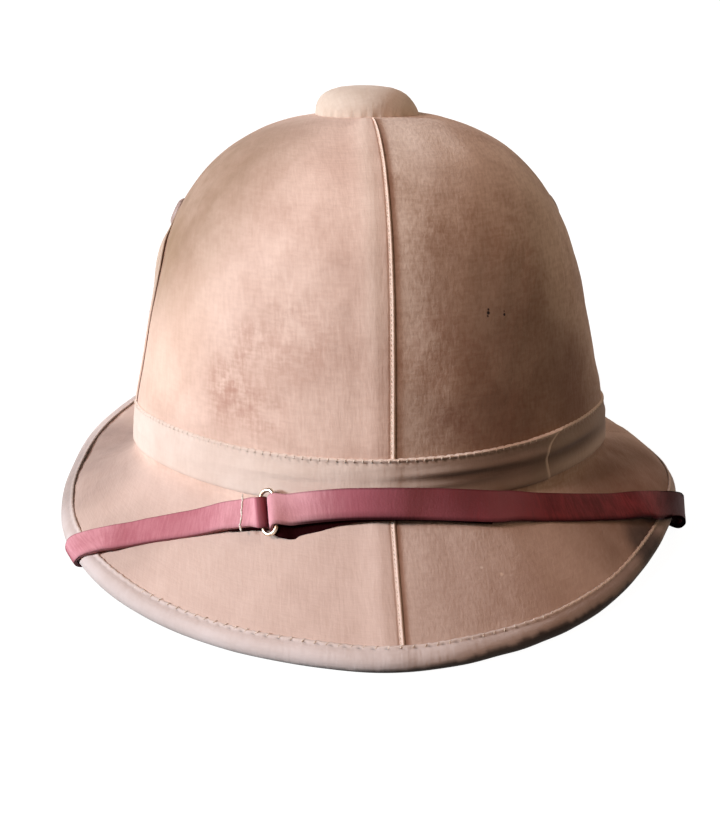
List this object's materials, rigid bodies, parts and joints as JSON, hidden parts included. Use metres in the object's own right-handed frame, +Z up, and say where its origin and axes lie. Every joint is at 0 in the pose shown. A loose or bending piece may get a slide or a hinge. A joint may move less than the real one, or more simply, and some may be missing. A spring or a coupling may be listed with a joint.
{
  "type": "pith helmet",
  "caption": "Cloth-covered pith sun helmet with a domed crown, down-sloping oval brim, top button, band, side eyelets and a leather chin strap over the front brim.",
  "frame": {"origin": "middle of the helmet's overall box, in the plane that it stands on", "axes": "+Z up, -Y the way the front of the helmet faces, +X to the right as seen from the front"},
  "size_m": [0.263, 0.3428, 0.1725],
  "materials": {
    "pressed_pith": "matte pressed plant pith, bare inside",
    "cotton_cover": "matte khaki cotton drill, faded and lightly stained",
    "cotton_band": "matte khaki cotton, stitched along its upper edge",
    "cotton_binding": "matte khaki cotton folded over the edge and stitched",
    "cotton_button": "matte cotton stretched over a round button",
    "painted_eyelet": "dull khaki paint, worn",
    "strap_leather": "smooth wine-red leather, a little dusty",
    "ring_brass": "pale bright wire",
    "rivet_brass": "dull"
  },
  "bodies": {
    "root": {"pith_shell": "pressed_pith", "cover_front_left": "cotton_cover", "cover_front_right": "cotton_cover", "cover_rear_right": "cotton_cover", "cover_rear_left": "cotton_cover", "crown_band": "cotton_band", "brim_binding": "cotton_binding", "top_button": "cotton_button", "vent_left": "painted_eyelet", "vent_right": "painted_eyelet", "chin_strap_short": "strap_leather", "chin_strap_long": "strap_leather", "strap_ring": "ring_brass", "strap_rivet_left": "rivet_brass", "strap_rivet_right": "rivet_brass"}
  },
  "joints": []
}
